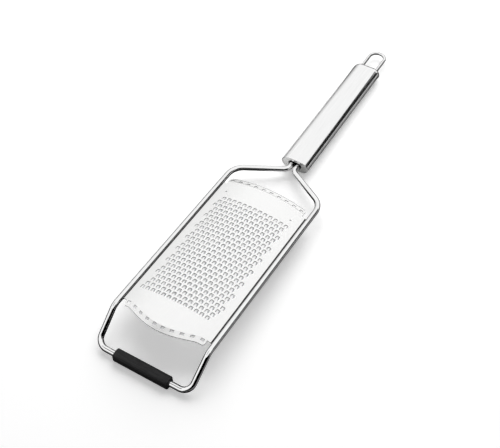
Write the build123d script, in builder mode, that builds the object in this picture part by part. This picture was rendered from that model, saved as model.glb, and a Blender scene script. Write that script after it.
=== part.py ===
from build123d import *
import os
from math import asin, atan2, cos, degrees, hypot, radians, sin, sqrt

# Rasp zester: an arched rasp plate welded into a frame of one bent round rod, with a rubber sleeve on
# the frame's cross bar and a hollow oval handle. It stands on the sleeve and on the rear of the handle.
# The deck is the flat plane of the frame's two long sides: x goes across, y towards the handle, z up.

# Frame rod, on its centre line
rod_diameter = 4.5
frame_width = 79.4
side_length = 161.8
leg_reach = 24.4
leg_drop = 19.1
bar_inset = 1.5
end_spacing = 5.2
foot_bend = 8.0
down_bend = 10.0
shoulder_bend = 16.0
neck_bend = 7.0

# Rubber sleeve on the cross bar
sleeve_length = 46.4
sleeve_size = 8.6
sleeve_corner = 2.5
sleeve_edge = 0.9

# Rasp plate
plate_thickness = 0.7
plate_rise = 6.1
edge_rise = 0.97
near_ear = 7.3
near_bulge = 8.1
bulge_margin = 4.0
far_gap = 15.3
far_notch = 4.1
far_fall = 1.5
flange_reach = 4.7
flange_drop = 1.2
flange_margin = 3.43
flange_corner = 2.4
section_count = 15
bulge_power = 1.3

# Teeth of the plate: each is a tongue inside a U-shaped slit
tooth_pitch = 4.6
row_pitch = 4.306
stagger_count = 3
first_row = 22.4
tooth_width = 2.2
tooth_length = 2.0
slit_width = 0.7

# Relief windows along both folds, and two small pilot holes at the handle end
window_pitch = 6.9
window_width = 2.8
window_length = 1.9
window_set = 0.4
pilot_spacing = 57.9
pilot_gap = 9.4
pilot_diameter = 1.5

# Weld runs under the plate's long edges
weld_diameter = 1.6
weld_length = 9.0
weld_pitch = 46.0
weld_count = 3

# Handle
handle_width = 24.6
handle_height = 12.4
handle_length = 134.0
handle_wall = 1.0
handle_rise = 2.9
neck_length = 29.7
handle_sink = 2.2
tube_edge = 0.5
front_recess = 0.4
front_cap_thickness = 1.6
end_slot_width = 10.6
end_slot_height = 6.8
neck_reach = 6.5
anchor_start = 12.0
anchor_length = 24.0
rod_margin = 2.0

# Rounded rear end of the handle and the hanging loop
rear_round = 5.7
rear_seam = 0.6
spigot_length = 6.0
loop_diameter = 2.8
loop_spacing = 13.8
loop_reach = 24.0
loop_anchor_length = 16.0
loop_margin = 1.5

# Clearances
seat_gap = 0.05
weld_gap = 0.02
flange_set = 0.14
cut_run = 5.0

rod_radius = rod_diameter / 2
bar_width = frame_width - bar_inset
handle_place = side_length + neck_length
rise_angle = radians(handle_rise)
handle_radius = handle_height / 2
inner_width = handle_width - 2 * handle_wall
inner_height = handle_height - 2 * handle_wall

# Lean of the deck against the table. The table touches the sleeve, whose axis is the cross bar, and the
# rounded rear edge of the handle: it is the lower tangent of these two circles in the side view.
rear_centre = handle_length - rear_round
rear_below = handle_radius - rear_round
rear_y = handle_place + rear_centre * cos(rise_angle) + rear_below * sin(rise_angle)
rear_z = rear_centre * sin(rise_angle) - rear_below * cos(rise_angle) - handle_sink
span_y = rear_y + leg_reach
span_z = rear_z + leg_drop
lean = atan2(span_z, span_y) - asin((rear_round - sleeve_size / 2) / hypot(span_y, span_z))

# Place of the deck: the part's ends lie equally far from the origin, and the table is at z = 0
loop_end_y = handle_place + (handle_length + loop_reach - loop_diameter / 2) * cos(rise_angle)
loop_end_z = (handle_length + loop_reach - loop_diameter / 2) * sin(rise_angle) - handle_sink
loop_run = (loop_end_y + leg_reach) * cos(lean) + (loop_end_z + leg_drop) * sin(lean) + loop_diameter / 2
bar_y = (sleeve_size / 2 - loop_run) / 2
bar_z = sleeve_size / 2
deck_y = bar_y + leg_reach * cos(lean) + leg_drop * sin(lean)
deck_z = bar_z - leg_reach * sin(lean) + leg_drop * cos(lean)
deck = Plane(origin=(0, deck_y, deck_z), x_dir=(1, 0, 0), z_dir=(0, sin(lean), cos(lean)))


def on_deck(x, y, z):
    """The point x, y, z of the deck's own frame."""
    return deck.from_local_coords(Vector(x, y, z))


def on_handle(x, along, up=0):
    """A point of the handle: across, along its axis from the front end, and above the axis."""
    y = handle_place + along * cos(rise_angle) - up * sin(rise_angle)
    z = along * sin(rise_angle) + up * cos(rise_angle) - handle_sink
    return on_deck(x, y, z)


handle_axis = on_handle(0, 1) - on_handle(0, 0)


def handle_section(along):
    """The plane across the handle at this distance from its front end, facing the rear."""
    return Plane(origin=on_handle(0, along), x_dir=(1, 0, 0), z_dir=handle_axis)


def deck_section(x):
    """The lengthwise plane of the deck at x: its own x runs to the handle, its own y up."""
    return Plane(origin=on_deck(x, 0, 0), x_dir=deck.y_dir, z_dir=deck.x_dir)


# Plate: half widths, ends, and the arch that rises from its edges at the rods to its middle line
plate_half_width = frame_width / 2 - rod_radius - weld_gap
flange_half_width = plate_half_width - flange_margin
bulge_half_width = flange_half_width - bulge_margin
far_fold = side_length - far_gap
far_ear = far_fold - far_notch
pilot_place = far_ear - pilot_gap
arch_rise = plate_rise - edge_rise
arch_radius = (plate_half_width**2 + arch_rise**2) / (2 * arch_rise)


def arch_height(x):
    """Height of the plate's upper side above the deck: a circular arch about a lengthwise axis."""
    return plate_rise - arch_radius + sqrt(arch_radius**2 - x**2)


def near_fold(x):
    """Fold at the foot end: straight at the ears, with a smooth bulge towards the foot between them."""
    share = max(0, 1 - (x / bulge_half_width) ** 2)
    return near_ear - near_bulge * share**bulge_power


def far_fold_line(x):
    """Fold at the handle end: a shallow parabola."""
    return far_fold - far_fall * (x / flange_half_width) ** 2


# Frame: one rod, from one end in the handle round the foot to the other
end_x = end_spacing / 2
rod_depth = anchor_start + anchor_length + rod_margin
right_side = [
    on_handle(end_x, rod_depth),
    on_handle(end_x, -neck_reach),
    on_deck(frame_width / 2, side_length, 0),
    on_deck(frame_width / 2, 0, 0),
    on_deck(bar_width / 2, -leg_reach, -leg_drop),
]
left_side = [Vector(-point.X, point.Y, point.Z) for point in reversed(right_side)]
side_bends = [neck_bend, shoulder_bend, down_bend, foot_bend]

with BuildPart() as frame_wire:
    with BuildLine() as frame_path:
        FilletPolyline(*right_side, *left_side, radius=side_bends + side_bends[::-1])
    with BuildSketch(Plane(origin=right_side[0], z_dir=-handle_axis)):
        Circle(rod_radius)
    sweep(path=frame_path.wires()[0])

# Rubber sleeve: a rounded square with a bore for the cross bar
with BuildPart() as foot_sleeve:
    with BuildSketch(Plane.YZ.offset(-sleeve_length / 2)):
        with Locations((bar_y, bar_z)):
            RectangleRounded(sleeve_size, sleeve_size, sleeve_corner)
    extrude(amount=sleeve_length)
    fillet(foot_sleeve.faces().sort_by(Axis.X)[0].edges(), radius=sleeve_edge)
    fillet(foot_sleeve.faces().sort_by(Axis.X)[-1].edges(), radius=sleeve_edge)
    with BuildSketch(Plane.YZ.offset(-sleeve_length / 2)):
        with Locations((bar_y, bar_z)):
            Circle(rod_radius + seat_gap)
    extrude(amount=sleeve_length, mode=Mode.SUBTRACT)

# Places across the plate where its folds and flanges are given by points
section_step = 2 * flange_half_width / (section_count - 1)
section_places = [index * section_step - flange_half_width for index in range(section_count)]


def flange_outline(x, fold, way):
    """Corners of a flange's section at x: the bent strip, set a little below the sheet, and a pointed root
    that ends in the middle of the sheet."""
    top = arch_height(x) - flange_set
    bottom = top - plate_thickness
    root = fold(x)
    tip = root + way * flange_reach
    inside = root - way * plate_thickness
    return [
        (tip, top - flange_drop),
        (root, top),
        (inside, arch_height(x) - plate_thickness / 2),
        (root, bottom),
        (tip, bottom - flange_drop),
    ]


# As many teeth fit in a row, and rows in the plate, as leave room for the steps between the rows, and as
# many windows as the flanges are wide
column_count = int((2 * flange_half_width - tooth_pitch) / tooth_pitch)
row_count = int((pilot_place - first_row) / row_pitch)
window_count = 1 + int((2 * flange_half_width - window_width) / window_pitch)

# Places of the teeth: the rows step across by a third of a pitch and start again after every third row.
# The first row keeps the same lattice, but starts one whole column further left.
tooth_places = []
for row in range(row_count):
    stagger = (row - 1) % stagger_count - (stagger_count - 1) / 2
    if row == 0:
        stagger -= stagger_count
    for column in range(column_count):
        across = (column - (column_count - 1) / 2 + stagger / stagger_count) * tooth_pitch
        tooth_places.append((across, first_row + row * row_pitch))

# Places and turns of the relief windows, each set out a little from its fold
window_places = []
for index in range(window_count):
    across = (index - (window_count - 1) / 2) * window_pitch
    for fold, way in ((near_fold, -1), (far_fold_line, 1)):
        turn = degrees(atan2(fold(across + section_step) - fold(across - section_step), 2 * section_step))
        window_places.append((across, fold(across) + way * (window_set + window_length / 2), turn))

# Flanges: each is a loft across the plate, with its two outer corners cut round
flanges = []
for fold, way in ((near_fold, -1), (far_fold_line, 1)):
    corner_x = flange_half_width - flange_corner
    corner_y = fold(corner_x) + way * (flange_reach - flange_corner)
    with BuildPart() as flange:
        for x in section_places:
            with BuildSketch(deck_section(x)):
                with BuildLine():
                    Polyline(*flange_outline(x, fold, way), close=True)
                make_face()
        loft()
        with BuildSketch(deck.offset(-cut_run)):
            with Locations((-corner_x, corner_y), (corner_x, corner_y)):
                Rectangle(2 * flange_corner, 2 * flange_corner)
            with Locations((0, corner_y - way * flange_corner)):
                Rectangle(2 * flange_half_width, 2 * flange_corner, mode=Mode.SUBTRACT)
            Rectangle(2 * corner_x, 2 * far_fold + 2 * cut_run, mode=Mode.SUBTRACT)
            with Locations((-corner_x, corner_y), (corner_x, corner_y)):
                Circle(flange_corner, mode=Mode.SUBTRACT)
        extrude(amount=cut_run + plate_rise + cut_run, mode=Mode.SUBTRACT)
    flanges.append(flange.part)

with BuildPart() as rasp_plate:
    # Arched sheet: a band between two like arcs, cut to its outline from above
    with BuildSketch(Plane(origin=on_deck(0, 0, 0), x_dir=(1, 0, 0), z_dir=-deck.y_dir)):
        with BuildLine():
            edge_height = arch_height(plate_half_width)
            ThreePointArc(
                (-plate_half_width, edge_height), (0, plate_rise), (plate_half_width, edge_height)
            )
            Line((plate_half_width, edge_height), (plate_half_width, edge_height - plate_thickness))
            ThreePointArc(
                (plate_half_width, edge_height - plate_thickness),
                (0, plate_rise - plate_thickness),
                (-plate_half_width, edge_height - plate_thickness),
            )
            Line((-plate_half_width, edge_height - plate_thickness), (-plate_half_width, edge_height))
        make_face()
    extrude(amount=-far_fold - cut_run)
    with BuildSketch(deck.offset(-cut_run)):
        with BuildLine():
            Polyline(
                (-flange_half_width, near_fold(flange_half_width)),
                (-plate_half_width, near_ear),
                (-plate_half_width, far_ear),
                (-flange_half_width, far_ear),
                (-flange_half_width, far_fold_line(flange_half_width)),
            )
            Spline(*[(x, far_fold_line(x)) for x in section_places])
            Polyline(
                (flange_half_width, far_fold_line(flange_half_width)),
                (flange_half_width, far_ear),
                (plate_half_width, far_ear),
                (plate_half_width, near_ear),
                (flange_half_width, near_fold(flange_half_width)),
            )
            Spline(*[(x, near_fold(x)) for x in reversed(section_places)])
        make_face()
    extrude(amount=cut_run + plate_rise + cut_run, mode=Mode.INTERSECT)
    add(flanges)
    # Tooth slits, relief windows and pilot holes
    with BuildSketch(deck.offset(-cut_run)):
        with Locations(*tooth_places):
            Rectangle(tooth_width + slit_width, tooth_length + slit_width)
        with Locations(*[(x, y - slit_width) for x, y in tooth_places]):
            Rectangle(tooth_width - slit_width, tooth_length + slit_width, mode=Mode.SUBTRACT)
        for across, place, turn in window_places:
            with Locations(Location((across, place, 0), turn)):
                Rectangle(window_width, window_length)
        with Locations((-pilot_spacing / 2, pilot_place), (pilot_spacing / 2, pilot_place)):
            Circle(pilot_diameter / 2)
    extrude(amount=cut_run + plate_rise + cut_run, mode=Mode.SUBTRACT)

# Welds: short round-ended runs in the corner between the plate's underside and the rod. In the section
# across the deck each is a circle that touches the rod's circle and the circle of the arch's underside.
weld_radius = weld_diameter / 2
rod_circle = rod_radius + weld_radius + weld_gap
arch_circle = arch_radius - weld_radius - weld_gap
arch_centre_z = plate_rise - plate_thickness - arch_radius
centre_distance = hypot(frame_width / 2, arch_centre_z)
weld_share = (rod_circle**2 - arch_circle**2 + centre_distance**2) / (2 * centre_distance**2)
weld_offset = sqrt(rod_circle**2 - (weld_share * centre_distance) ** 2) / centre_distance
weld_x = frame_width / 2 * (1 - weld_share) + weld_offset * arch_centre_z
weld_z = weld_share * arch_centre_z - weld_offset * frame_width / 2
plate_middle = (near_ear + far_ear) / 2

with BuildPart() as plate_welds:
    for side in (-1, 1):
        for index in range(weld_count):
            weld_y = plate_middle + (index - (weld_count - 1) / 2) * weld_pitch - weld_length / 2
            with BuildSketch(Plane(origin=on_deck(side * weld_x, weld_y, weld_z), z_dir=deck.y_dir)):
                Circle(weld_radius)
            extrude(amount=weld_length)
    fillet(plate_welds.edges().filter_by(GeomType.CIRCLE), radius=weld_radius - weld_gap)

# Handle tube: a flattened oval with half-round sides
seam_place = handle_length - rear_round - rear_seam

with BuildPart() as handle_tube:
    with BuildSketch(handle_section(0)):
        SlotOverall(handle_width, handle_height)
    extrude(amount=seam_place)
    fillet(handle_tube.faces().sort_by(Axis.Y)[0].edges(), radius=tube_edge)
    with BuildSketch(handle_section(0)):
        SlotOverall(inner_width, inner_height)
    extrude(amount=seam_place, mode=Mode.SUBTRACT)

# Front cap, set back a little inside the tube, with the slot for the two rod ends
seat_width = inner_width - 2 * seat_gap
seat_height = inner_height - 2 * seat_gap

with BuildPart() as handle_front_cap:
    with BuildSketch(handle_section(front_recess)):
        SlotOverall(seat_width, seat_height)
        SlotOverall(end_slot_width, end_slot_height, mode=Mode.SUBTRACT)
    extrude(amount=front_cap_thickness)

# Anchor block that holds the rod ends
with BuildPart() as leg_anchor:
    with BuildSketch(handle_section(anchor_start)):
        SlotOverall(seat_width, seat_height)
        with Locations((-end_x, 0), (end_x, 0)):
            Circle(rod_radius + seat_gap, mode=Mode.SUBTRACT)
    extrude(amount=anchor_length)

# Rear cap: the rounded end, its hollow, the spigot that centres it in the tube, and the loop's two holes
hollow_width = seat_width - 2 * handle_wall
hollow_height = seat_height - 2 * handle_wall
hollow_end = handle_length - handle_wall - rear_round / 2
loop_radius = loop_spacing / 2

with BuildPart() as handle_rear_cap:
    with BuildSketch(handle_section(seam_place)):
        SlotOverall(handle_width, handle_height)
    extrude(amount=handle_length - seam_place)
    fillet(handle_rear_cap.faces().sort_by(Axis.Y)[-1].edges(), radius=rear_round)
    with BuildSketch(handle_section(seam_place - spigot_length)):
        SlotOverall(seat_width, seat_height)
    extrude(amount=spigot_length)
    with BuildSketch(handle_section(seam_place - spigot_length)):
        SlotOverall(hollow_width, hollow_height)
    extrude(amount=hollow_end - seam_place + spigot_length, mode=Mode.SUBTRACT)
    with BuildSketch(handle_section(seam_place)):
        with Locations((-loop_radius, 0), (loop_radius, 0)):
            Circle(loop_diameter / 2 + seat_gap)
    extrude(amount=handle_length - seam_place, mode=Mode.SUBTRACT)

# Anchor block that holds the loop's ends, against the rear cap's spigot
loop_anchor_place = seam_place - spigot_length - loop_anchor_length

with BuildPart() as loop_anchor:
    with BuildSketch(handle_section(loop_anchor_place)):
        SlotOverall(seat_width, seat_height)
        with Locations((-loop_radius, 0), (loop_radius, 0)):
            Circle(loop_diameter / 2 + seat_gap, mode=Mode.SUBTRACT)
    extrude(amount=loop_anchor_length)

# Hanging loop: two straight ends and a half-round bend
loop_start = loop_anchor_place + loop_margin
loop_bend = handle_length + loop_reach - loop_diameter / 2 - loop_radius
loop_plane = Plane(origin=on_handle(0, 0), x_dir=(1, 0, 0), z_dir=on_handle(0, 0, 1) - on_handle(0, 0))

with BuildPart() as hanging_loop:
    with BuildLine(loop_plane) as loop_path:
        Line((-loop_radius, loop_start), (-loop_radius, loop_bend))
        ThreePointArc((-loop_radius, loop_bend), (0, loop_bend + loop_radius), (loop_radius, loop_bend))
        Line((loop_radius, loop_bend), (loop_radius, loop_start))
    with BuildSketch(Plane(origin=on_handle(-loop_radius, loop_start), z_dir=handle_axis)):
        Circle(loop_diameter / 2)
    sweep(path=loop_path.wires()[0])

os.makedirs("parts", exist_ok=True)

frame_wire.part.label = "frame_wire"
foot_sleeve.part.label = "foot_sleeve"
rasp_plate.part.label = "rasp_plate"
plate_welds.part.label = "plate_welds"
handle_tube.part.label = "handle_tube"
handle_front_cap.part.label = "handle_front_cap"
leg_anchor.part.label = "leg_anchor"
handle_rear_cap.part.label = "handle_rear_cap"
loop_anchor.part.label = "loop_anchor"
hanging_loop.part.label = "hanging_loop"

export_step(frame_wire.part, "parts/frame_wire.step")
export_step(foot_sleeve.part, "parts/foot_sleeve.step")
export_step(rasp_plate.part, "parts/rasp_plate.step")
export_step(plate_welds.part, "parts/plate_welds.step")
export_step(handle_tube.part, "parts/handle_tube.step")
export_step(handle_front_cap.part, "parts/handle_front_cap.step")
export_step(leg_anchor.part, "parts/leg_anchor.step")
export_step(handle_rear_cap.part, "parts/handle_rear_cap.step")
export_step(loop_anchor.part, "parts/loop_anchor.step")
export_step(hanging_loop.part, "parts/hanging_loop.step")
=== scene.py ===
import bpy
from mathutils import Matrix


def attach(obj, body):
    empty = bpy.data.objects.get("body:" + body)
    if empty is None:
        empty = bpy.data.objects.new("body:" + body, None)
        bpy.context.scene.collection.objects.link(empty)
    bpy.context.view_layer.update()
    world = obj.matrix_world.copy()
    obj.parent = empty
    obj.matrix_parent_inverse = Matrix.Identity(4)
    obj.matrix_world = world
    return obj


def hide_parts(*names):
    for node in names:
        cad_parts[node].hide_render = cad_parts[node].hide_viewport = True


bl_info = {
    "name": "Rasp zester",
    "version": (1, 0, 0),
    "blender": (4, 5, 0),
    "location": "3D View > Sidebar > Rasp zester",
    "description": "Dresses the packed rasp zester: rod frame, plate, foot, handle and loop",
    "category": "Object",
}

from math import asin, atan2, cos, hypot, pi, radians, sin

import bmesh
import bpy
import numpy as np

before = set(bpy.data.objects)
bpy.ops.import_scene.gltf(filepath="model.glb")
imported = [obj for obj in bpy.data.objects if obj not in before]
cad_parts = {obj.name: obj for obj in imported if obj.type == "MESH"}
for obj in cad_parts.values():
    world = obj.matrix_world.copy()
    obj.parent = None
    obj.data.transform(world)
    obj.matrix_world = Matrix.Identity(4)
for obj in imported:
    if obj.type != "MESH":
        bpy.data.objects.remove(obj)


# Properties


def length(name, text, value):
    """A length in metres."""
    return bpy.props.FloatProperty(
        name=name, description=text, default=value, unit="LENGTH", precision=5
    )


def angle(name, text, value):
    """An angle, given in degrees and kept in radians."""
    return bpy.props.FloatProperty(
        name=name, description=text, default=radians(value), subtype="ANGLE"
    )


def share(name, text, value):
    """A number from 0 to 1."""
    return bpy.props.FloatProperty(
        name=name, description=text, default=value, min=0, max=1, subtype="FACTOR"
    )


def count(name, text, value):
    """A whole number."""
    return bpy.props.IntProperty(name=name, description=text, default=value, min=1)


def colour(name, text, value):
    """A linear colour."""
    return bpy.props.FloatVectorProperty(
        name=name, description=text, default=value, subtype="COLOR", size=3, min=0, max=1
    )


def spot(name, text, value):
    """A place in space, in metres."""
    return bpy.props.FloatVectorProperty(
        name=name, description=text, default=value, size=3, subtype="TRANSLATION", unit="LENGTH"
    )


class RodSizes(bpy.types.PropertyGroup):
    """Centre line of the frame's bent rod."""

    diameter: length("Diameter", "Thickness of the frame's rod", 0.0045)
    width: length("Width", "Spacing of the two long sides", 0.0794)
    side: length("Side", "Length of a long side, from the foot's bend to the shoulder", 0.1618)
    leg_reach: length("Leg reach", "How far the foot lies in front of the sides", 0.0244)
    leg_drop: length("Leg drop", "How far the foot lies below the sides", 0.0191)
    bar: length("Bar", "Width of the foot's cross bar", 0.0779)
    spacing: length("End spacing", "Spacing of the two ends in the handle", 0.0052)
    depth: length("End depth", "How far the ends reach into the handle", 0.038)
    neck: length("Neck", "Straight rod in front of the handle", 0.0065)
    foot_bend: length("Foot bend", "Bend radius at the cross bar", 0.008)
    down_bend: length("Down bend", "Bend radius at the front of the sides", 0.010)
    shoulder_bend: length("Shoulder bend", "Bend radius at the shoulders", 0.016)
    neck_bend: length("Neck bend", "Bend radius at the neck", 0.007)


class SleeveSizes(bpy.types.PropertyGroup):
    """Rubber sleeve on the cross bar."""

    span: length("Length", "Length of the sleeve", 0.0464)
    size: length("Size", "Height and depth of the sleeve", 0.0086)
    corner: length("Corner", "Radius of its long edges", 0.0025)
    edge: length("Edge", "Rounding of its two ends", 0.0011)
    gap: length("Gap", "Clearance of its bore on the rod", 0.00005)


class PlateSizes(bpy.types.PropertyGroup):
    """Arched sheet with rows of teeth, two bent flanges and their relief windows."""

    thickness: length("Thickness", "Thickness of the sheet", 0.0007)
    rise: length("Rise", "Height of the arch above the rods", 0.0061)
    edge_rise: length("Edge rise", "Height of its sides above the rods", 0.00097)
    half_width: length("Half width", "Half width of the sheet", 0.03743)
    roll: length("Roll", "Width of the rolled-over long edges", 0.0008)
    near_ear: length("Near ear", "Foot end of the sheet beside its flange", 0.0073)
    near_bulge: length("Near bulge", "How far the near fold bulges to the foot", 0.0081)
    bulge_half: length("Bulge half width", "Half width of that bulge", 0.030)
    far_ear: length("Far ear", "Handle end of the sheet beside its flange", 0.1424)
    far_fold: length("Far fold", "Fold at the handle end, on the middle line", 0.1465)
    far_fall: length("Far fall", "How far the far fold falls back at its ends", 0.0015)
    reach: length("Flange reach", "Width of the bent flanges", 0.0047)
    drop: length("Flange drop", "How far the flanges drop", 0.0012)
    flange_half: length("Flange half width", "Half width of the flanges", 0.034)
    corner: length("Flange corner", "Radius of the flanges' corners", 0.0024)
    pitch: length("Tooth pitch", "Spacing of the teeth across the plate", 0.0046)
    row_pitch: length("Row pitch", "Spacing of the rows of teeth", 0.004306)
    rows: count("Rows", "Rows of teeth", 25)
    columns: count("Columns", "Teeth in a row", 13)
    first_row: length("First row", "Root of the first row of teeth", 0.02105)
    tongue: length("Tongue", "Length of a tooth", 0.0020)
    slit: length("Slit", "Width of the slit round its tip", 0.0009)
    lift: length("Lift", "How far its tip stands up", 0.0005)
    windows: count("Windows", "Relief windows in each flange", 10)
    window_pitch: length("Window pitch", "Spacing of the relief windows", 0.0069)
    window_width: length("Window width", "Width of a relief window", 0.0028)
    window_length: length("Window length", "Length of a relief window", 0.0019)
    window_set: length("Window set", "Distance of the windows from the fold", 0.0004)
    pilot_place: length("Pilot place", "Place of the pilot holes", 0.133)
    pilot_half: length("Pilot half spacing", "Half spacing of the pilot holes", 0.02895)
    pilot_radius: length("Pilot radius", "Radius of a pilot hole", 0.00075)
    # Painted shade: how dark the rolled edges, the far flange's outer edge and the far fold's line
    # are painted
    rolled_painted_shade: share("Rolled dark", "How dark the rolled-over long edges are", 0.9)
    rim: length("Rim", "Width of the far flange's outer edge", 0.0007)
    rim_painted_shade: share("Rim dark", "How dark the far flange's outer edge is", 0.5)
    fold_painted_shade: share("Fold dark", "How dark the far fold's line is", 0.6)


class HandleSizes(bpy.types.PropertyGroup):
    """Oval handle with its two end caps."""

    width: length("Width", "Width of the handle", 0.0246)
    height: length("Height", "Height of the handle", 0.0124)
    span: length("Length", "Length of the handle", 0.134)
    wall: length("Wall", "Wall of the tube", 0.001)
    rise: angle("Rise", "Angle of the handle above the rods", 2.9)
    place: length("Place", "Distance of its front from the front bends", 0.1915)
    sink: length("Sink", "How far its axis starts below the rods", 0.0022)
    edge: length("Edge", "Rounding of the tube's front edge", 0.0005)
    crown: share("Crown", "How much lower it is towards its sides", 0.2)
    recess: length("Recess", "How far the front cap is set back", 0.0004)
    cap: length("Cap", "Thickness of the front cap", 0.0016)
    slot_width: length("Slot width", "Width of the slot for the rod ends", 0.0120)
    slot_height: length("Slot height", "Height of the slot for the rod ends", 0.0068)
    rear_round: length("Rear round", "Radius of the rounded rear end", 0.0057)
    rear_seam: length("Rear seam", "Distance from the rounding to the seam", 0.0006)
    spigot: length("Spigot", "Length of the rear cap's spigot", 0.006)
    gap: length("Gap", "Clearance of the caps in the tube", 0.00005)


class LoopSizes(bpy.types.PropertyGroup):
    """Hanging loop at the rear of the handle."""

    diameter: length("Diameter", "Thickness of the loop's rod", 0.0028)
    spacing: length("Spacing", "Spacing of its two legs", 0.0138)
    reach: length("Reach", "How far it stands out of the handle", 0.024)
    depth: length("Depth", "How far its legs go into the handle", 0.0268)


class FinishColours(bpy.types.PropertyGroup):
    """Colours and roughness of the finishes."""

    polished: colour("Polished steel", "Colour of the polished rods", (0.92, 0.92, 0.92))
    plate: colour("Plate steel", "Colour of the rasp plate", (0.955, 0.955, 0.95))
    # Painted shade: near black, mixed into the plate's slit and window walls and along its edges
    cut: colour("Cut steel", "Colour of the plate's cut faces", (0.03, 0.03, 0.03))
    brushed: colour("Brushed steel", "Colour of the handle", (0.94, 0.94, 0.94))
    cap: colour("Cap steel", "Colour of the front cap", (0.95, 0.95, 0.94))
    weld: colour("Weld", "Colour of the weld runs", (0.42, 0.39, 0.35))
    anchor: colour("Anchor metal", "Colour of the hidden blocks", (0.62, 0.63, 0.64))
    rubber: colour("Rubber", "Colour of the sleeve", (0.014, 0.014, 0.0145))
    rod_rough: share("Rod roughness", "Roughness of the polished rods", 0.035)
    plate_rough: share("Plate roughness", "Roughness of the rasp plate", 0.24)
    handle_rough: share("Handle roughness", "Roughness of the handle", 0.11)
    plate_metal: share("Plate metal", "How far the rasp plate reflects as a bare metal", 0.72)
    handle_metal: share("Handle metal", "How far the handle reflects as a bare metal", 0.97)


class StudioSettings(bpy.types.PropertyGroup):
    """Camera, floor and lights."""

    camera_place: spot("Camera place", "Where the camera stands", (0.252448, -0.435716, 0.598585))
    camera_turn: bpy.props.FloatVectorProperty(
        name="Camera turn",
        description="Rotation of the camera",
        default=(radians(38.4942), radians(1.1788), radians(30.9847)),
        size=3,
        subtype="EULER",
    )
    lens: bpy.props.FloatProperty(
        name="Lens", description="Focal length on a 36 mm sensor", default=70.18, min=1
    )
    floor: colour("Floor", "Colour of the floor", (0.86, 0.86, 0.86))
    floor_lift: share("Floor lift", "White that the camera sees on top of the lit floor", 0.36)
    world: share("World", "Strength of the surrounding light", 0.28)
    key: bpy.props.FloatProperty(
        name="Key", description="Power of the large soft lamp", default=17.0, unit="POWER"
    )
    key_size: length("Key size", "Width and height of that lamp", 1.3)
    key_place: spot("Key place", "Where that lamp stands", (-0.26, 0.79, 0.88))
    card: length("Card distance", "Distance of the cards round the table", 3.0)


# Cards, dark and light, that only reflections see: from and to azimuth, clockwise from the handle's
# end, from and to height above the floor, both in degrees, and grey
CARDS = (
    (92, 186, 0, 46, 0.0),
    (24, 60, 31, 37, 0.0),
    (34, 92, 6, 31, 0.0),
    (38, 92, -5, 6, 0.8),
    (-34, 38, 0, 6, 0.03),
    (-75, -34, 22, 34, 0.88),
    (-75, -34, 12, 22, 0.72),
    (-75, -34, 0, 12, 0.5),
    (-125, -75, 0, 11, 0.0),
    (-174, -125, 0, 9, 0.03),
    (-152, -92, 58, 67, 0.0),
    (-130, -60, 67, 84, 0.66),
)

# Sheets on the floor, dark and light, that only reflections see: from and to place across, from and
# to place along, and grey. Each lies on top of those before it
SHEETS = (
    (-3.2, 3.2, -3.2, 3.2, 0.0),
    (-0.16, 0.16, -0.32, 0.32, 0.22),
    # Painted shadow under the plate, which the metal mirrors
    (-0.08, 0.05, -0.21, 0.008, 0.02),
    (-0.016, 0.016, 0.010, 0.031, 0.85),
    (-0.10, -0.012, 0.034, 0.165, 0.75),
    (0.012, 0.0165, 0.034, 0.165, 0.8),
    # Painted shadow beside the handle, which the metal mirrors
    (0.0165, 0.028, 0.034, 0.165, 0.02),
    (0.026, 0.07, 0.034, 0.165, 0.3),
    (-0.0045, 0.03, 0.165, 0.2, 0.0),
)

GROUPS = (
    ("rod", RodSizes),
    ("sleeve", SleeveSizes),
    ("plate", PlateSizes),
    ("handle", HandleSizes),
    ("loop", LoopSizes),
    ("finish", FinishColours),
    ("studio", StudioSettings),
)


class RaspSettings(bpy.types.PropertyGroup):
    """All settings of the rasp zester."""

    __annotations__ = {
        name: bpy.props.PointerProperty(name=name.title(), description=kind.__doc__, type=kind)
        for name, kind in GROUPS
    }


# Places


class Place:
    """Where the deck and the handle lie above the table. The deck is the plane of the rod's long
    sides. It leans so that the sleeve and the rounded rear of the handle both touch the table: in
    the side view the table is the lower tangent of two circles, and the part's two ends lie equally
    far from x = y = 0."""

    def __init__(self, settings):
        rod, sleeve, handle, loop = settings.rod, settings.sleeve, settings.handle, settings.loop
        self.rise, self.start, self.sink = handle.rise, handle.place, handle.sink
        rear = handle.span - handle.rear_round
        below = handle.height / 2 - handle.rear_round
        run = self.start + rear * cos(self.rise) + below * sin(self.rise) + rod.leg_reach
        climb = rear * sin(self.rise) - below * cos(self.rise) - self.sink + rod.leg_drop
        foot = sleeve.size / 2
        lean = atan2(climb, run) - asin((handle.rear_round - foot) / hypot(run, climb))
        end = handle.span + loop.reach - loop.diameter / 2
        end_y = self.start + end * cos(self.rise) + rod.leg_reach
        end_z = end * sin(self.rise) - self.sink + rod.leg_drop
        whole = end_y * cos(lean) + end_z * sin(lean) + loop.diameter / 2
        self.bar = np.array([0, (foot - whole) / 2, foot])
        self.along = np.array([0, cos(lean), -sin(lean)])
        self.up = np.array([0, sin(lean), cos(lean)])
        self.origin = self.bar + rod.leg_reach * self.along + rod.leg_drop * self.up
        self.axis = cos(self.rise) * self.along + sin(self.rise) * self.up
        self.lift = cos(self.rise) * self.up - sin(self.rise) * self.along
        self.front = self.origin + self.start * self.along - self.sink * self.up

    def deck(self, x, y, z):
        """Points of the deck: across, along and above it."""
        points = self.origin + np.multiply.outer(x, [1, 0, 0])
        return points + np.multiply.outer(y, self.along) + np.multiply.outer(z, self.up)

    def handle(self, x, along, up):
        """Points of the handle: across, along its axis from the front end, and above the axis."""
        points = self.front + np.multiply.outer(x, [1, 0, 0])
        return points + np.multiply.outer(along, self.axis) + np.multiply.outer(up, self.lift)


# Surfaces


# Steps along each bend of a rod, and round the rod
ROD_BEND, ROD_ROUND = 15, 32
LOOP_BEND, LOOP_ROUND = 21, 24

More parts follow.
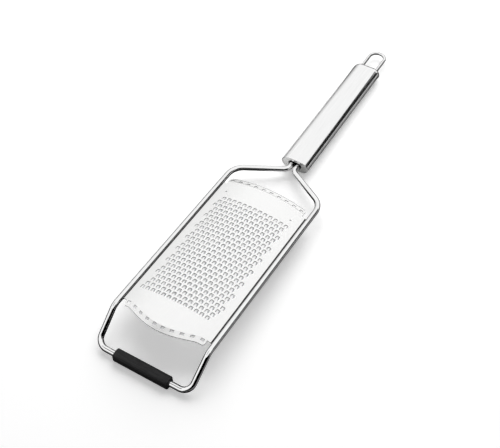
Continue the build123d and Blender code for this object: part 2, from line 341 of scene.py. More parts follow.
# Radius of the loop's bends as a share of its half spacing: a straight run stays between them
LOOP_FULLNESS = 0.999

# Steps on each quarter of a ring, along a small rounded edge, and along the handle's rounded rear
SLEEVE_QUARTER, HANDLE_QUARTER = 9, 17
EDGE_STEPS, REAR_STEPS = 6, 14

# Distances, in metres, up to which points merge and edges count as having no length
MERGED, NO_LENGTH = 1e-6, 1e-7

# Angles between two faces from which their edge is sharp, on most pieces and on the plate
SHARP, PLATE_SHARP = radians(50), radians(35)


def grid_quads(rows, columns, closed):
    """Quads between the rows of a grid of points. The columns always close into a ring, and the
    rows do so if closed is true."""
    index = np.arange(rows * columns).reshape(rows, columns)
    here = index if closed else index[:-1]
    there = np.roll(index, -1, axis=0) if closed else index[1:]
    quads = [here, np.roll(here, -1, axis=1), np.roll(there, -1, axis=1), there]
    return np.stack(quads, axis=-1).reshape(-1, 4)


def ring(half_width, half_height, corner, steps):
    """Rounded box as one ring of points: a quarter circle of the corner radius in each corner, with
    the same number of points in each, so that rings of any size and shape match point by point."""
    turn = np.repeat(np.arange(4), steps) * pi / 2 + np.tile(np.linspace(0, pi / 2, steps), 4)
    side = np.repeat([[1, 1], [-1, 1], [-1, -1], [1, -1]], steps, axis=0)
    centre = side * [half_width - corner, half_height - corner]
    return centre + corner * np.stack([np.cos(turn), np.sin(turn)], axis=1)


def crowned(across, up, half_width, crown):
    """Draws the flat top and bottom of a section down to a crown: the height shrinks by the crown
    times the square of the place across, as a share of the half width."""
    return up * (1 - crown * np.clip(across / half_width, -1, 1) ** 2)


def oval(place, half_width, half_height):
    """Ring sizes of an oval with round sides: its corner radius is its half height."""
    return place, half_width, half_height, half_height


def rings(sizes, steps):
    """Rings of a rounded box for a table of place, half width, half height and corner radius:
    arrays of the first and second coordinate of every ring, and of its place."""
    flat = np.stack([ring(width, height, corner, steps) for _, width, height, corner in sizes])
    places = np.array([row[0] for row in sizes])[:, None] + np.zeros(flat.shape[:2])
    return flat[..., 0], flat[..., 1], places


def rounded_end(place, way, half_width, half_height, corner, edge, steps):
    """Ring sizes round the edge of an end face, from the side wall to the face: the ring shrinks by
    edge (1 - cos t) while its place moves out by edge sin t, for t from 0 to a right angle."""
    turn = np.linspace(0, pi / 2, steps)
    inset = edge * (1 - np.cos(turn))
    out = place + way * edge * np.sin(turn)
    return [(o, half_width - i, half_height - i, corner - i) for o, i in zip(out, inset)]


def bent_path(corners, radii, steps):
    """Points and directions of a line with rounded corners. At a corner with turning angle a and
    radius r, the arc starts r tan(a / 2) before it, and a point at angle t of the arc is the start
    plus r sin t along the incoming direction plus r (1 - cos t) along the inward normal."""
    corners = np.array(corners)
    runs = np.diff(corners, axis=0)
    runs /= np.linalg.norm(runs, axis=1, keepdims=True)
    points, ways = [corners[:1]], [runs[:1]]
    for corner, before, after, radius in zip(corners[1:-1], runs[:-1], runs[1:], radii):
        whole = np.arccos(before @ after)
        inward = (after - before * (before @ after)) / np.sin(whole)
        start = corner - before * radius * np.tan(whole / 2)
        turn = np.linspace(0, whole, steps)[:, None]
        points.append(start + radius * (np.sin(turn) * before + (1 - np.cos(turn)) * inward))
        ways.append(np.cos(turn) * before + np.sin(turn) * inward)
    points.append(corners[-1:])
    ways.append(runs[-1:])
    return np.concatenate(points), np.concatenate(ways)


def carried(points, ways, up, radius, steps):
    """Circle carried along a path: every point of the path plus radius times (cos t side + sin t
    top), where side is square to the path and to the up direction, and top to both. The two end
    rings are closed by a ring of no size."""
    side = np.cross(ways, up)
    side /= np.linalg.norm(side, axis=1, keepdims=True)
    top = np.cross(side, ways)
    turn = np.linspace(0, 2 * pi, steps, endpoint=False)[None, :, None]
    body = points[:, None] + radius * (np.cos(turn) * side[:, None] + np.sin(turn) * top[:, None])
    first = np.repeat(points[:1, None], steps, axis=1)
    last = np.repeat(points[-1:, None], steps, axis=1)
    return np.concatenate([first, body, last])


def add_object(name, data):
    """Adds an object to the scene."""
    made = bpy.data.objects.new(name, data)
    bpy.context.scene.collection.objects.link(made)
    return made


def add_piece(name, points, quads, material, nodes, sharp=SHARP, cut=None):
    """Puts a closed surface into a mesh, merges its doubles, turns its faces outwards, shades it
    smooth up to the given angle, and lets it ride on the part in place of its CAD nodes. How much
    painted shade each face gets goes into a face attribute, which a finish can read."""
    mesh = bpy.data.meshes.new(name)
    mesh.from_pydata(points.reshape(-1, 3).tolist(), [], quads.tolist())
    if cut is not None:
        mesh.attributes.new("cut", "FLOAT", "FACE").data.foreach_set("value", cut)
    shape = bmesh.new()
    shape.from_mesh(mesh)
    bmesh.ops.remove_doubles(shape, verts=shape.verts, dist=MERGED)
    bmesh.ops.dissolve_degenerate(shape, edges=shape.edges, dist=NO_LENGTH)
    bmesh.ops.recalc_face_normals(shape, faces=shape.faces)
    shape.to_mesh(mesh)
    shape.free()
    mesh.polygons.foreach_set("use_smooth", np.ones(len(mesh.polygons), bool))
    mesh.set_sharp_from_angle(angle=sharp)
    mesh.materials.append(material)
    piece = add_object(name, mesh)
    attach(piece, "root")
    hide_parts(*nodes)


def add_grid(name, surface, closed, material, nodes):
    """Adds a piece whose surface is a row of rings, joined end to end if closed is true."""
    quads = grid_quads(*surface.shape[:2], closed)
    add_piece(name, surface, quads, material, nodes)


# Finishes


# Sockets of the Mix node's colours: the first, the second and the result
MIX_FIRST, MIX_SECOND, MIX_RESULT = 6, 7, 2

# Middle range of a noise value
NOISE = {"from_min": 0.3, "from_max": 0.7}


def node(tree, kind, links=(), **values):
    """Adds a node, sets its sockets and settings by name, and links other sockets into it."""
    made = tree.nodes.new("ShaderNode" + kind)
    for name, value in values.items():
        title = name.replace("_", " ").title()
        if title in made.inputs:
            made.inputs[title].default_value = value
        else:
            setattr(made, name, value)
    for name, socket in links:
        tree.links.new(socket, made.inputs[name])
    return made


class Finish:
    """A material and its node tree."""

    def __init__(self, name, colour, metallic, roughness):
        self.colour = colour
        self.material = bpy.data.materials.new(name)
        self.material.use_nodes = True
        self.tree = self.material.node_tree
        self.shader = self.tree.nodes["Principled BSDF"]
        self.shader.inputs["Metallic"].default_value = metallic
        self.shader.inputs["Roughness"].default_value = roughness
        self.shader.inputs["Base Color"].default_value = (*colour, 1)
        self.place = node(self.tree, "TexCoord").outputs["Object"]

    def grain(self, scale, detail, stretch=(1, 1, 1)):
        """Noise of the object's coordinates times a scale of each axis."""
        mapped = node(self.tree, "Mapping", [("Vector", self.place)], scale=stretch)
        place = [("Vector", mapped.outputs["Vector"])]
        return node(self.tree, "TexNoise", place, scale=scale, detail=detail).outputs["Fac"]

    def spread(self, value, low, high):
        """Maps a noise value's middle range to the range from low to high."""
        mapped = node(self.tree, "MapRange", [("Value", value)], to_min=low, to_max=high, **NOISE)
        return mapped.outputs["Result"]

    def rough(self, value, low, high):
        """Lets a noise value set the roughness."""
        self.tree.links.new(self.spread(value, low, high), self.shader.inputs["Roughness"])

    def mix(self, amount, second):
        """Lets a socket mix the second colour into a first one, which is set on the node itself."""
        mixed = node(self.tree, "Mix", [("Factor", amount)], data_type="RGBA")
        mixed.inputs[MIX_SECOND].default_value = (*second, 1)
        self.tree.links.new(mixed.outputs[MIX_RESULT], self.shader.inputs["Base Color"])
        return mixed

    def tint(self, value, dark, light=1.0):
        """Lets a noise value mix the colour times two factors."""
        mixed = self.mix(self.spread(value, 0, 1), scaled(self.colour, light))
        mixed.inputs[MIX_FIRST].default_value = (*scaled(self.colour, dark), 1)
        return mixed.outputs[MIX_RESULT]

    def shade(self, base, colour, attribute):
        """Lets an attribute of the faces mix a colour into the base colour's socket."""
        amount = node(self.tree, "Attribute", attribute_name=attribute).outputs["Fac"]
        self.tree.links.new(base, self.mix(amount, colour).inputs[MIX_FIRST])

    def bump(self, value, strength, distance):
        """Lets a noise value raise the surface."""
        height = [("Height", value)]
        raised = node(self.tree, "Bump", height, strength=strength, distance=distance)
        self.tree.links.new(raised.outputs["Normal"], self.shader.inputs["Normal"])


def scaled(colour, factor):
    """A colour made lighter or darker."""
    return tuple(min(1.0, part * factor) for part in colour)


def polished_steel(name, look):
    """Polished rod: clear reflections, with faint clouds of roughness and hardly any waviness."""
    made = Finish(name, look.polished, metallic=1.0, roughness=look.rod_rough)
    clouds = made.grain(scale=140, detail=3)
    waves = made.grain(scale=420, detail=2)
    made.rough(clouds, low=look.rod_rough * 0.6, high=look.rod_rough * 1.5)
    made.tint(clouds, dark=0.95)
    made.bump(waves, strength=0.05, distance=0.00005)
    return made.material


def plate_steel(look):
    """Rasp plate: fine satin grain along the plate, with soft clouds. Its faces darken towards a
    near-black painted shade as far as their attribute says."""
    made = Finish("satin_plate_steel", look.plate, look.plate_metal, look.plate_rough)
    grain = made.grain(scale=2600, detail=2, stretch=(1, 0.03, 1))
    clouds = made.grain(scale=55, detail=3, stretch=(1, 0.5, 1))
    made.rough(clouds, low=look.plate_rough * 0.85, high=look.plate_rough * 1.15)
    steel = made.tint(grain, dark=0.96)
    # Painted shade: the faces' attribute mixes near black into the plate's colour
    made.shade(steel, look.cut, attribute="cut")
    made.bump(grain, strength=0.12, distance=0.00003)
    return made.material


def brushed_steel(look):
    """Handle: brushed along its length, so the grain is drawn out along the handle's axis."""
    made = Finish("brushed_handle_steel", look.brushed, look.handle_metal, look.handle_rough)
    grain = made.grain(scale=2400, detail=3, stretch=(1, 0.015, 1))
    streaks = made.grain(scale=420, detail=2, stretch=(1, 0.02, 1))
    made.rough(streaks, low=look.handle_rough * 0.8, high=look.handle_rough * 1.25)
    made.tint(grain, dark=0.93)
    made.bump(grain, strength=0.1, distance=0.00003)
    return made.material


def cap_steel(look):
    """Front cap: turned satin face."""
    made = Finish("satin_cap_steel", look.cap, metallic=1.0, roughness=0.32)
    grain = made.grain(scale=1800, detail=3)
    made.rough(grain, low=0.26, high=0.4)
    made.tint(grain, dark=0.92)
    made.bump(grain, strength=0.15, distance=0.00004)
    return made.material


def sleeve_rubber(look):
    """Rubber: dull black with a fine mottle and faint streaks along the sleeve."""
    made = Finish("foot_rubber", look.rubber, metallic=0.0, roughness=0.62)
    made.shader.inputs["Specular IOR Level"].default_value = 0.3
    mottle = made.grain(scale=900, detail=4)
    streaks = made.grain(scale=1300, detail=3, stretch=(0.06, 1, 1))
    made.rough(mottle, low=0.5, high=0.72)
    made.tint(streaks, dark=0.4, light=2.0)
    made.bump(mottle, strength=0.35, distance=0.0001)
    return made.material


def weld_metal(look):
    """Weld: heat-tinted, with small ripples along the run."""
    made = Finish("weld_metal", look.weld, metallic=1.0, roughness=0.45)
    ripples = made.grain(scale=1500, detail=2)
    heat = made.grain(scale=300, detail=2)
    made.rough(ripples, low=0.35, high=0.6)
    made.tint(heat, dark=0.7, light=1.2)
    made.bump(ripples, strength=0.5, distance=0.0001)
    return made.material


def raw_metal(look):
    """Hidden blocks: sawn and unpolished."""
    made = Finish("raw_anchor_metal", look.anchor, metallic=1.0, roughness=0.5)
    grain = made.grain(scale=1500, detail=2, stretch=(0.1, 1, 1))
    made.rough(grain, low=0.42, high=0.6)
    made.tint(grain, dark=0.85)
    made.bump(grain, strength=0.3, distance=0.00008)
    return made.material


# Plate


# Lengths in metres, and places in rows, that are closer than this count as the same
SAME = 1e-6

# A length that stands for none where it would divide, and the place of points that are on no tooth
TINY, FAR_OFF = 1e-9, 1.0

# Lines through a flange's rounded corner, and decimals that the lines across are rounded to
CORNER_LINES, DECIMALS = 6, 6

# Lines between the near fold and the first row of teeth, and between the far ear and the far fold,
# as shares of the distance
NEAR_LINES = (0.04, 0.2, 0.4, 0.6, 0.8)
FAR_LINE = 0.8

# Powers of the near fold's bulge, of the rolled edges' curve and of a tooth's curve
BULGE_POWER, ROLL_POWER, TOOTH_POWER = 1.3, 1.3, 1.4

# How far the rolled edges fall, as a share of their width
ROLL_FALL = 1.4

# How far a slit's outer corners and a tongue's corners are drawn in, as shares of the slit's width
OUTER_DRAW, INNER_DRAW = 0.3, 0.2

# How much thinner a tongue is at its tip, as a share of the sheet's thickness
TIP_THINNING = 0.6


def arch_height(x, plate):
    """Upper side of the sheet: a circle about a lengthwise axis through the middle line and both
    sides. With half width w and rise s, its radius is (w squared + s squared) / (2 s)."""
    rise = plate.rise - plate.edge_rise
    radius = (plate.half_width**2 + rise**2) / (2 * rise)
    return plate.rise - radius + np.sqrt(radius**2 - x**2)


def near_fold(x, plate):
    """Fold at the foot end: the bulge times (1 - (x / half width) squared) to a power, and straight
    ears beside it."""
    inside = np.clip(1 - (x / plate.bulge_half) ** 2, 0, None)
    return plate.near_ear - plate.near_bulge * inside**BULGE_POWER


def far_fold(x, plate):
    """Fold at the handle end: a shallow parabola."""
    return plate.far_fold - plate.far_fall * (x / plate.flange_half) ** 2


def past_folds(x, y, plate):
    """How far every point lies past the near fold, and how far past the far one."""
    return near_fold(x, plate) - y, y - far_fold(x, plate)


def flange_tip(x, plate):
    """Width of a flange at x: its reach, less a quarter circle at each outer corner."""
    past = np.clip(np.abs(x) - plate.flange_half + plate.corner, 0, plate.corner)
    return plate.reach - plate.corner + np.sqrt(plate.corner**2 - past**2)


def plate_columns(plate):
    """Lines across the plate. The rows step by a third of a pitch, a tongue is a third of a pitch
    wide and the slit beside it a sixth, so the edges of all tongues and slits fall on lines a sixth
    of a pitch apart. The windows' edges, the flanges' corners and the sheet's sides are added."""
    outmost = plate.columns * 3 + 4
    teeth = np.arange(-outmost, outmost + 1) * plate.pitch / 6
    middles = (np.arange(plate.windows) - (plate.windows - 1) / 2) * plate.window_pitch
    edges = np.concatenate([middles - plate.window_width / 2, middles + plate.window_width / 2])
    turn = np.linspace(0, pi / 2, CORNER_LINES)
    corner = plate.flange_half - plate.corner * (1 - np.sin(turn))
    sides = plate.half_width - np.array([1, 0.5, 0]) * plate.roll
    sides = np.concatenate([corner, [(plate.flange_half + plate.half_width) / 2], sides])
    pilots = plate.pilot_half + np.array([-1, 0, 1]) * plate.pilot_radius
    lines = np.concatenate([teeth, edges, sides, -sides, pilots, -pilots])
    return np.unique(np.round(lines, DECIMALS))


def plate_rows(x, plate):
    """Lines along the plate, as places of every line on every column: the near flange, the near
    fold, the rows of teeth with four lines for each, and the far fold and flange."""
    level = np.zeros_like(x)
    inner, outer = plate.window_set, plate.window_set + plate.window_length
    flange = [plate.reach, plate.reach - plate.rim, outer, (inner + outer) / 2, inner, inner / 3]
    tip, near, far = flange_tip(x, plate), near_fold(x, plate), far_fold(x, plate)
    roots = plate.first_row + np.arange(plate.rows) * plate.row_pitch
    tooth = [0, plate.tongue / 2, plate.tongue, plate.tongue + plate.slit]
    marks = np.add.outer(roots, tooth).ravel()
    pilots = plate.pilot_place + np.array([-1, 0, 1]) * plate.pilot_radius
    lines = [near - np.minimum(step, tip) for step in flange] + [near]
    lines += [near + (marks[0] - near) * part for part in NEAR_LINES]
    lines += [level + mark for mark in marks]
    lines += [level + place for place in pilots] + [level + plate.far_ear]
    lines += [plate.far_ear + (far - plate.far_ear) * FAR_LINE, far]
    lines += [far + np.minimum(step, tip) for step in reversed(flange)]
    return np.stack(lines)


def tooth_place(x, y, plate):
    """Place of every point in its own tooth: across from the tooth's middle line, and along from
    its root. The third row lies on the middle line, each row steps on by a third of a pitch and
    every fourth row starts again, and the first row starts a column further left. Outside the rows
    both are far off."""
    row = np.floor((y - plate.first_row) / plate.row_pitch + SAME)
    step = np.where(row == 0, -2, (row - 1) % 3 - 1)
    column = x / plate.pitch - step / 3
    near = np.clip(np.round(column), -(plate.columns // 2), plate.columns // 2)
    across = (column - near) * plate.pitch
    along = y - plate.first_row - row * plate.row_pitch
    outside = (row < 0) | (row >= plate.rows)
    return np.where(outside, FAR_OFF, across), np.where(outside, FAR_OFF, along)


def sheet_cells(x, y, plate):
    """Which cells, given by their middles, are sheet: those outside the slits, the windows and the
    pilot holes, and not beside the flanges."""
    past_near, past_far = past_folds(x, y, plate)
    beyond = np.maximum(past_near, past_far)
    across, along = tooth_place(x, y, plate)
    half = plate.pitch / 6
    tongue = (np.abs(across) < half) & (along < plate.tongue)
    slot = (np.abs(across) < half * 2) & (along > 0) & (along < plate.tongue + plate.slit)
    off_window = np.abs((x / plate.window_pitch) % 1 - 0.5) * plate.window_pitch
    window = (off_window < plate.window_width / 2) & (beyond > plate.window_set)
    window &= beyond < plate.window_set + plate.window_length
    window &= np.abs(x) < plate.windows * plate.window_pitch / 2
    beside = (np.abs(x) > plate.flange_half) & ((past_near > 0) | (y > plate.far_ear))
    off_pilot = np.maximum(np.abs(np.abs(x) - plate.pilot_half), np.abs(y - plate.pilot_place))
    return ~((slot & ~tongue) | window | beside | (off_pilot < plate.pilot_radius))


def painted_sheet_shade(x, y, plate):
    """How much painted shade the faces of each cell get: the outer edge of the far flange, the line
    along the far fold and the rolled-over long edges are painted darker."""
    past = past_folds(x, y, plate)[1]
    dark = plate.rim_painted_shade * (past > plate.reach - plate.rim)
    dark += plate.fold_painted_shade * ((past > 0) & (past < plate.window_set))
    dark += plate.rolled_painted_shade * (np.abs(x) > plate.half_width - plate.roll)
    return dark


def rounded_openings(x, y, across, along, plate):
    """Places of the points with the openings rounded: the slits' outer corners and the tongues'
    tips are drawn in, and the square pilot openings are pulled into circles."""
    half, end = plate.pitch / 6, plate.tongue + plate.slit
    outer = (np.abs(np.abs(across) - half * 2) < SAME) & (np.abs(along - end) < SAME)
    inner = (np.abs(np.abs(across) - half) < SAME) & (np.abs(along - plate.tongue) < SAME)
    drawn = np.where(outer, OUTER_DRAW * plate.slit, np.where(inner, INNER_DRAW * plate.slit, 0))
    x = x - np.sign(across) * drawn
    y = y - drawn
    off_x = np.abs(x) - plate.pilot_half
    off_y = y - plate.pilot_place
    square = np.maximum(np.abs(off_x), np.abs(off_y))
    round_off = np.maximum(np.hypot(off_x, off_y), TINY)
    pull = np.where(square < plate.pilot_radius + SAME, square / round_off, 1)
    return np.sign(x) * (plate.pilot_half + off_x * pull), plate.pilot_place + off_y * pull


def rasp_surface(plate, place):
    """The sheet as a grid of lines across and along: cells inside slits, windows, pilot holes and
    beside the flanges are left out, the upper side follows the arch, the folds and the lift of the
    teeth, the under side lies a thickness below, and walls join them round every opening. Also how
    much painted shade each face gets: the walls are wholly painted dark, apart from the outer edges
    of the flanges."""
    x = plate_columns(plate)
    y = plate_rows(x, plate)
    x = np.broadcast_to(x, y.shape)
    middle_x = (x[:-1, :-1] + x[1:, 1:]) / 2
    middle_y = (y[:-1, :-1] + y[1:, :-1] + y[:-1, 1:] + y[1:, 1:]) / 4
    solid = sheet_cells(middle_x, middle_y, plate)
    dark = painted_sheet_shade(middle_x, middle_y, plate)[solid]

    # Points, whose places in their teeth are those from before the rounding
    across, along = tooth_place(x, y, plate)
    x, y = rounded_openings(x, y, across, along, plate)
    past = np.maximum(*past_folds(x, y, plate))
    top = arch_height(x, plate) - plate.drop / plate.reach * np.clip(past, 0, None)
    rolled = np.clip((np.abs(x) - plate.half_width) / plate.roll + 1, 0, 1)
    top = top - plate.roll * ROLL_FALL * rolled**ROLL_POWER
    inside = (np.abs(across) < plate.pitch / 6 + SAME) & (along > 0) & (along < plate.tongue + SAME)
    raised = np.where(inside, (along / plate.tongue) ** TOOTH_POWER, 0)
    upper = top + plate.lift * raised
    lower = top - plate.thickness + (plate.lift + plate.thickness * TIP_THINNING) * raised
    points = np.concatenate([place.deck(x, y, upper), place.deck(x, y, lower)])

    # Faces: two for each cell, and a wall wherever a cell has none beside it
    index = np.arange(x.size).reshape(x.shape)
    cell = [index[:-1, :-1], index[:-1, 1:], index[1:, 1:], index[1:, :-1]]
    upper_quads = np.stack(cell, axis=-1)[solid]
    quads = [upper_quads, upper_quads[:, ::-1] + x.size]
    # Painted shade of each face: the cells' own, and full for the walls apart from the flanges'
    # outer edges
    cut = [dark, dark]
    padded = np.pad(solid, 1)
    edge = past.ravel() > (plate.window_set + plate.window_length + plate.reach) / 2
    along_x = (padded[:-1, 1:-1], padded[1:, 1:-1], index[:, :-1], index[:, 1:])
    along_y = (padded[1:-1, :-1], padded[1:-1, 1:], index[:-1, :], index[1:, :])
    for first, second, start, stop in (along_x, along_y):
        wall = first != second
        quads.append(np.stack([start, stop, stop + x.size, start + x.size], axis=-1)[wall])
        cut.append(np.where(edge[start[wall]], 0, 1))
    quads = np.concatenate(quads)
    used, order = np.unique(quads, return_inverse=True)
    return points.reshape(-1, 3)[used], order.reshape(quads.shape), np.concatenate(cut)


# Handle


def handle_sizes(handle):
    """Ring sizes of the tube, from its rounded front edge to the seam and back inside, of the front
    cap and its slot, and of the rear cap, from its spigot over the seam to its rounded end."""
    wide, high = handle.width / 2, handle.height / 2
    inner = (wide - handle.wall, high - handle.wall)
    cap = (inner[0] - handle.gap, inner[1] - handle.gap)
    slot = (handle.slot_width / 2, handle.slot_height / 2)
    face, back = handle.recess, handle.recess + handle.cap
    rear = handle.span - handle.rear_round
    seam = rear - handle.rear_seam
    start = seam - handle.spigot
    edge = rounded_end(handle.edge, -1, wide, high, high, handle.edge, EDGE_STEPS)[::-1]
    dome = rounded_end(rear, 1, wide, high, high, handle.rear_round, REAR_STEPS)
    tube = [*edge, oval(seam, wide, high), oval(seam, *inner), oval(0, *inner)]
    front = [oval(face, *cap), oval(back, *cap), oval(back, *slot), oval(face, *slot)]
    plug = [oval(start, 0, 0), oval(start, *cap), oval(seam, *cap), oval(seam, wide, high)]
    return tube, front, [*plug, *dome, oval(handle.span, wide - high, 0)]


def handle_surface(sizes, flat, settings):
    """Rings about the handle's axis, crowned outside a flat middle of the given half width."""
    handle = settings.handle
    first, second, along = rings(sizes, HANDLE_QUARTER)
    crown = crowned(first, second, handle.width / 2, handle.crown)
    return Place(settings).handle(first, along, np.where(np.abs(first) > flat, crown, second))


# Stage


# Half width of the floor, its height, and how far each sheet lies above the one below it
FLOOR_HALF, FLOOR_LEVEL, SHEET_STEP = 12.0, -0.0001, 0.00001

# Points along a card and up it
CARD_POINTS = (17, 9)

# Width of the camera's sensor, in millimetres
SENSOR = 36


def bare_material(name):
    """A new material and its node tree, which is empty."""
    material = bpy.data.materials.new(name)
    material.use_nodes = True
    material.node_tree.nodes.clear()
    return material, material.node_tree


def seen_rays(tree):
    """A socket that is 1 for camera, glossy and transmission rays and 0 for all others."""
    rays = node(tree, "LightPath").outputs
    seen = rays["Is Camera Ray"]
    for kind in ("Is Glossy Ray", "Is Transmission Ray"):
        seen = node(tree, "Math", [(0, seen), (1, rays[kind])], operation="MAXIMUM").outputs[0]
    return seen


def rectangle(left, right, first, last, level):
    """Corners of a level rectangle, as a grid of points."""
    return np.array([[[x, y, level] for x in (left, right)] for y in (first, last)])


def add_sheet(name, points, material):
    """Adds an open grid of points as a sheet."""
    rows, columns = points.shape[:2]
    quads = grid_quads(rows, columns, False).reshape(rows - 1, columns, 4)[:, :-1].reshape(-1, 4)
    mesh = bpy.data.meshes.new(name)
    mesh.from_pydata(points.reshape(-1, 3).tolist(), [], quads.tolist())
    mesh.materials.append(material)
    return add_object(name, mesh)


def add_floor(studio):
    """Floor: lit as it is, with a little white added for the camera and in reflections."""
    material, tree = bare_material("floor_white")
    amount = node(tree, "Math", [(0, seen_rays(tree))], operation="MULTIPLY")
    amount.inputs[1].default_value = studio.floor_lift
    glow = node(tree, "Emission", [("Strength", amount.outputs[0])])
    dull = node(tree, "BsdfDiffuse", color=(*studio.floor, 1))
    both = node(tree, "AddShader", [(0, dull.outputs[0]), (1, glow.outputs[0])])
    node(tree, "OutputMaterial", [("Surface", both.outputs[0])])
    corners = rectangle(-FLOOR_HALF, FLOOR_HALF, -FLOOR_HALF, FLOOR_HALF, FLOOR_LEVEL)
    return add_sheet("floor", corners, material)


def add_card(name, points, shader, grey):
    """Adds an open grid of points that is seen in reflections alone."""
    material, tree = bare_material(name)
    surface = node(tree, shader, color=(grey, grey, grey, 1))
    node(tree, "OutputMaterial", [("Surface", surface.outputs[0])])
    card = add_sheet(name, points, material)
    card.visible_camera = card.visible_diffuse = card.visible_shadow = False
    return card


def add_cards(studio):
    """Cards: glowing patches of a sphere round the table, and sheets on the floor, lit as it is."""
    cards = []
    along, up = CARD_POINTS
    for first, last, below, above, grey in CARDS:
        turn, height = np.meshgrid(
            np.radians(np.linspace(first, last, along)), np.radians(np.linspace(below, above, up))
        )
        patch = [np.sin(turn) * np.cos(height), np.cos(turn) * np.cos(height), np.sin(height)]
        patch = np.stack(patch, axis=-1) * studio.card
        cards.append(add_card("dark_card", patch, "Emission", grey))
    for step, (left, right, first, last, grey) in enumerate(SHEETS):
        level = FLOOR_LEVEL + (step + 1) * SHEET_STEP
        sheet = rectangle(left, right, first, last, level)
        cards.append(add_card("dark_sheet", sheet, "BsdfDiffuse", grey))
    return cards


def add_key(studio):
    """Key lamp: large and soft, from behind and a little to the left. The metal doesn't mirror it,
    but the white world."""
    lamp = bpy.data.lights.new("key_softbox", "AREA")
    lamp.shape = "RECTANGLE"
    lamp.size = lamp.size_y = studio.key_size
    lamp.energy = studio.key
    key = add_object("key_softbox", lamp)
    key.location = studio.key_place
    key.visible_glossy = False
    key.rotation_euler = (-key.location).to_track_quat("-Z", "Y").to_euler()


def add_world(studio):
    """World: white for the camera and in reflections, softer as a light."""
    world = bpy.data.worlds.new("studio")
    world.use_nodes = True
    tree = world.node_tree
    back = tree.nodes["Background"]
    back.inputs["Color"].default_value = (1, 1, 1, 1)
    seen = [("Value", seen_rays(tree))]
    level = node(tree, "MapRange", seen, to_min=studio.world, to_max=1.0)
    tree.links.new(level.outputs["Result"], back.inputs["Strength"])
    bpy.context.scene.world = world


def add_camera(studio):
    """Camera at the photo's place."""
    lens = bpy.data.cameras.new("camera")
    lens.lens = studio.lens
    lens.sensor_width = SENSOR
    camera = add_object("camera", lens)
    camera.location = studio.camera_place
    camera.rotation_euler = studio.camera_turn
    bpy.context.scene.camera = camera


# Operators


class RASP_OT_frame(bpy.types.Operator):
    """Adds the frame's rod: a circle carried along the bent centre line."""

    bl_idname = "rasp.frame"
    bl_label = "Frame rod"

    def execute(self, context):
        settings = context.scene.rasp
        rod, place = settings.rod, Place(settings)
        ends = place.handle([rod.spacing / 2] * 2, [rod.depth, -rod.neck], [0, 0])
        across = np.array([rod.width, rod.width, rod.bar]) / 2
        bends = place.deck(across, [rod.side, 0, -rod.leg_reach], [0, 0, -rod.leg_drop])
        right = np.concatenate([ends, bends])
        left = right[::-1] * [-1, 1, 1]
        radii = [rod.neck_bend, rod.shoulder_bend, rod.down_bend, rod.foot_bend]
        points, ways = bent_path(np.concatenate([right, left]), radii + radii[::-1], ROD_BEND)
        surface = carried(points, ways, place.up, rod.diameter / 2, ROD_ROUND)
        steel = polished_steel("polished_rod_steel", settings.finish)
        add_grid("frame_rod", surface, False, steel, ["frame_wire"])
        return {"FINISHED"}


class RASP_OT_sleeve(bpy.types.Operator):
    """Adds the rubber sleeve: a rounded square along the bar, with rounded ends and a bore."""

    bl_idname = "rasp.sleeve"
    bl_label = "Foot sleeve"

    def execute(self, context):
        settings = context.scene.rasp
        sleeve, half, end = settings.sleeve, settings.sleeve.size / 2, settings.sleeve.span / 2
        bore = settings.rod.diameter / 2 + sleeve.gap
        start = end - sleeve.edge
        right = rounded_end(start, 1, half, half, sleeve.corner, sleeve.edge, EDGE_STEPS)
        left = [(-row[0], *row[1:]) for row in reversed(right)]
        holes = [oval(end, bore, bore), oval(-end, bore, bore)]
        first, second, along = rings(left + right + holes, SLEEVE_QUARTER)
        surface = Place(settings).bar + np.stack([along, first, second], axis=-1)
        rubber = sleeve_rubber(settings.finish)
        add_grid("rubber_sleeve", surface, True, rubber, ["foot_sleeve"])
        return {"FINISHED"}


class RASP_OT_plate(bpy.types.Operator):
    """Adds the rasp plate with its teeth, flanges, windows and pilot holes."""

    bl_idname = "rasp.plate"
    bl_label = "Rasp plate"

    def execute(self, context):
        settings = context.scene.rasp
        points, quads, cut = rasp_surface(settings.plate, Place(settings))
        steel, nodes = plate_steel(settings.finish), ["rasp_plate"]
        add_piece("toothed_plate", points, quads, steel, nodes, PLATE_SHARP, cut)
        return {"FINISHED"}


class RASP_OT_handle(bpy.types.Operator):
    """Adds the handle's tube, its front cap and its rounded rear cap."""

    bl_idname = "rasp.handle"
    bl_label = "Handle"

    def execute(self, context):
        settings = context.scene.rasp
        handle = settings.handle
        tube, front, rear = handle_sizes(handle)
        brushed, satin = brushed_steel(settings.finish), cap_steel(settings.finish)
        tube = handle_surface(tube, 0, settings)
        add_grid("handle_shell", tube, True, brushed, ["handle_tube"])
        front = handle_surface(front, handle.slot_width / 2, settings)
        add_grid("front_plate", front, True, satin, ["handle_front_cap"])
        rear = handle_surface(rear, 0, settings)
        add_grid("rear_dome", rear, False, brushed, ["handle_rear_cap"])
        return {"FINISHED"}


class RASP_OT_loop(bpy.types.Operator):
    """Adds the hanging loop: two straight legs and a half-round bend."""

    bl_idname = "rasp.loop"
    bl_label = "Hanging loop"

    def execute(self, context):
        settings = context.scene.rasp
        loop, handle, place = settings.loop, settings.handle, Place(settings)
        half = loop.spacing / 2
        end = handle.span - loop.depth
        top = handle.span + loop.reach - loop.diameter / 2
        corners = place.handle([-half, -half, half, half], [end, top, top, end], [0, 0, 0, 0])
        points, ways = bent_path(corners, [half * LOOP_FULLNESS] * 2, LOOP_BEND)
        surface = carried(points, ways, place.lift, loop.diameter / 2, LOOP_ROUND)
        steel = polished_steel("polished_loop_steel", settings.finish)
        add_grid("loop_rod", surface, False, steel, ["hanging_loop"])
        return {"FINISHED"}


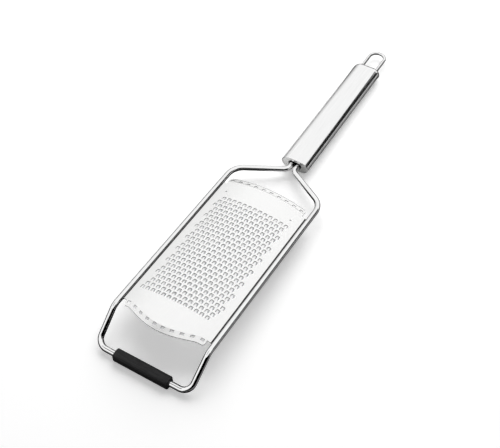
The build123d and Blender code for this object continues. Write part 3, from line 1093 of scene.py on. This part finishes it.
class RASP_OT_hidden(bpy.types.Operator):
    """Gives the CAD pieces that stay, the welds and the hidden anchor blocks, their finishes."""

    bl_idname = "rasp.hidden"
    bl_label = "Welds and anchors"

    def execute(self, context):
        look = context.scene.rasp.finish
        raw = raw_metal(look)
        looks = {"plate_welds": weld_metal(look), "leg_anchor": raw, "loop_anchor": raw}
        for name, material in looks.items():
            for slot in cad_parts[name].material_slots:
                slot.material = material
        return {"FINISHED"}


class RASP_OT_stage(bpy.types.Operator):
    """Adds the floor, the cards that the metal mirrors, the lamp, the world and the camera."""

    bl_idname = "rasp.stage"
    bl_label = "Stage"

    def execute(self, context):
        studio = context.scene.rasp.studio
        cards = [add_floor(studio), *add_cards(studio)]
        add_key(studio)
        add_world(studio)
        add_camera(studio)
        context.scene.view_settings.view_transform = "Standard"
        return {"FINISHED"}


OPERATORS = (
    RASP_OT_frame,
    RASP_OT_sleeve,
    RASP_OT_plate,
    RASP_OT_handle,
    RASP_OT_loop,
    RASP_OT_hidden,
    RASP_OT_stage,
)


class RASP_PT_sidebar(bpy.types.Panel):
    """Lists the pieces and their settings."""

    bl_idname = "RASP_PT_sidebar"
    bl_label = "Rasp zester"
    bl_space_type = "VIEW_3D"
    bl_region_type = "UI"
    bl_category = "Rasp zester"

    def draw(self, context):
        for operator in OPERATORS:
            self.layout.operator(operator.bl_idname)
        for name, group in GROUPS:
            box = self.layout.box()
            box.label(text=name)
            for key in group.__annotations__:
                box.prop(getattr(context.scene.rasp, name), key)


CLASSES = (*(group for _, group in GROUPS), RaspSettings, *OPERATORS, RASP_PT_sidebar)


def register():
    """Registers the classes and the settings."""
    for made in CLASSES:
        bpy.utils.register_class(made)
    bpy.types.Scene.rasp = bpy.props.PointerProperty(type=RaspSettings)


def unregister():
    """Removes the settings and the classes."""
    del bpy.types.Scene.rasp
    for made in reversed(CLASSES):
        bpy.utils.unregister_class(made)


def main():
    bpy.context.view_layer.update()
    register()
    bpy.ops.rasp.frame()
    bpy.ops.rasp.sleeve()
    bpy.ops.rasp.plate()
    bpy.ops.rasp.handle()
    bpy.ops.rasp.loop()
    bpy.ops.rasp.hidden()
    bpy.ops.rasp.stage()


if __name__ == "__main__":
    main()
